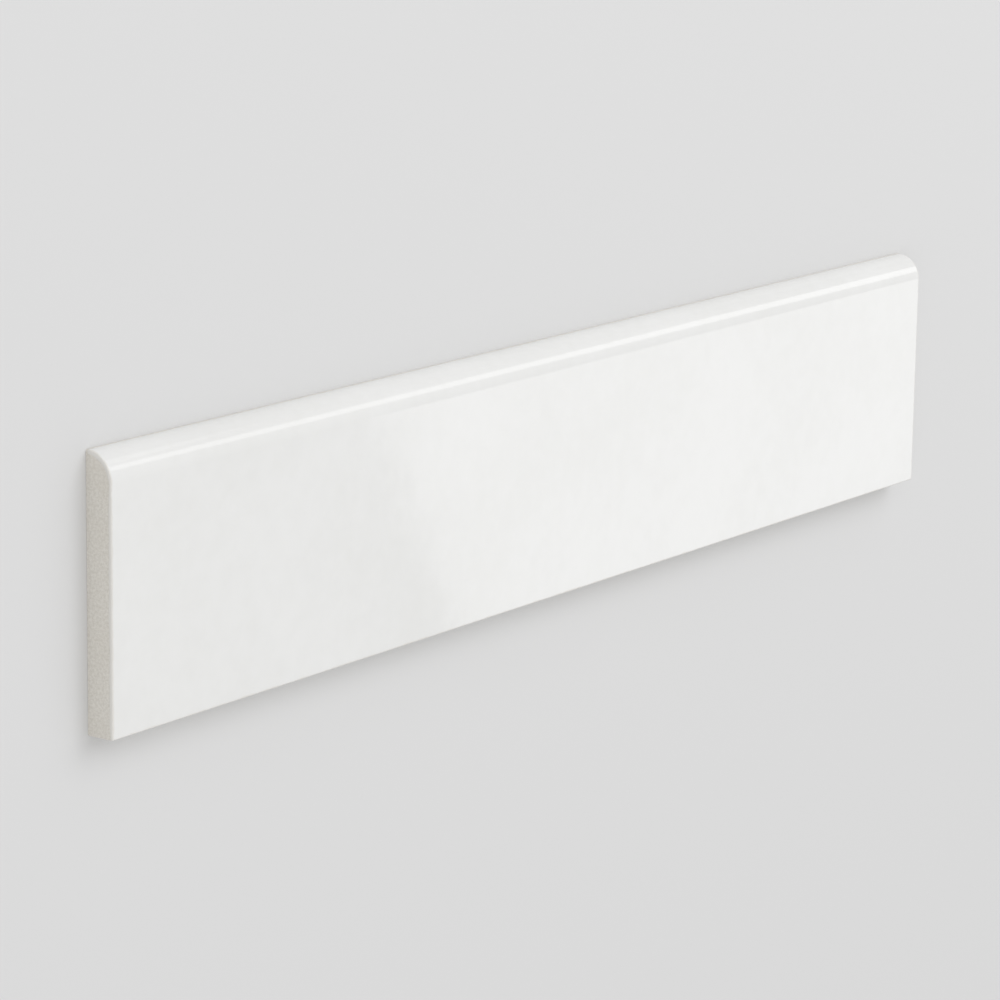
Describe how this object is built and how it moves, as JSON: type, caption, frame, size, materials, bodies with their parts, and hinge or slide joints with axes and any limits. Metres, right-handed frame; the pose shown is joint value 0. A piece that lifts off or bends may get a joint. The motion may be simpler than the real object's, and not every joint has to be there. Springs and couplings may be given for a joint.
{
  "type": "bullnose tile",
  "caption": "Long, narrow white glazed ceramic trim tile with one long edge rounded over, used as a skirting or to finish the open edge of a tiled wall.",
  "frame": {"origin": "centre of the back, which lies on the floor", "axes": "+X along the length, +Y towards the bullnose edge, +Z out through the glazed face"},
  "size_m": [0.45, 0.085, 0.0095],
  "materials": {
    "white_glaze": "gloss"
  },
  "bodies": {
    "root": {"bullnose_tile": "white_glaze"}
  },
  "joints": []
}
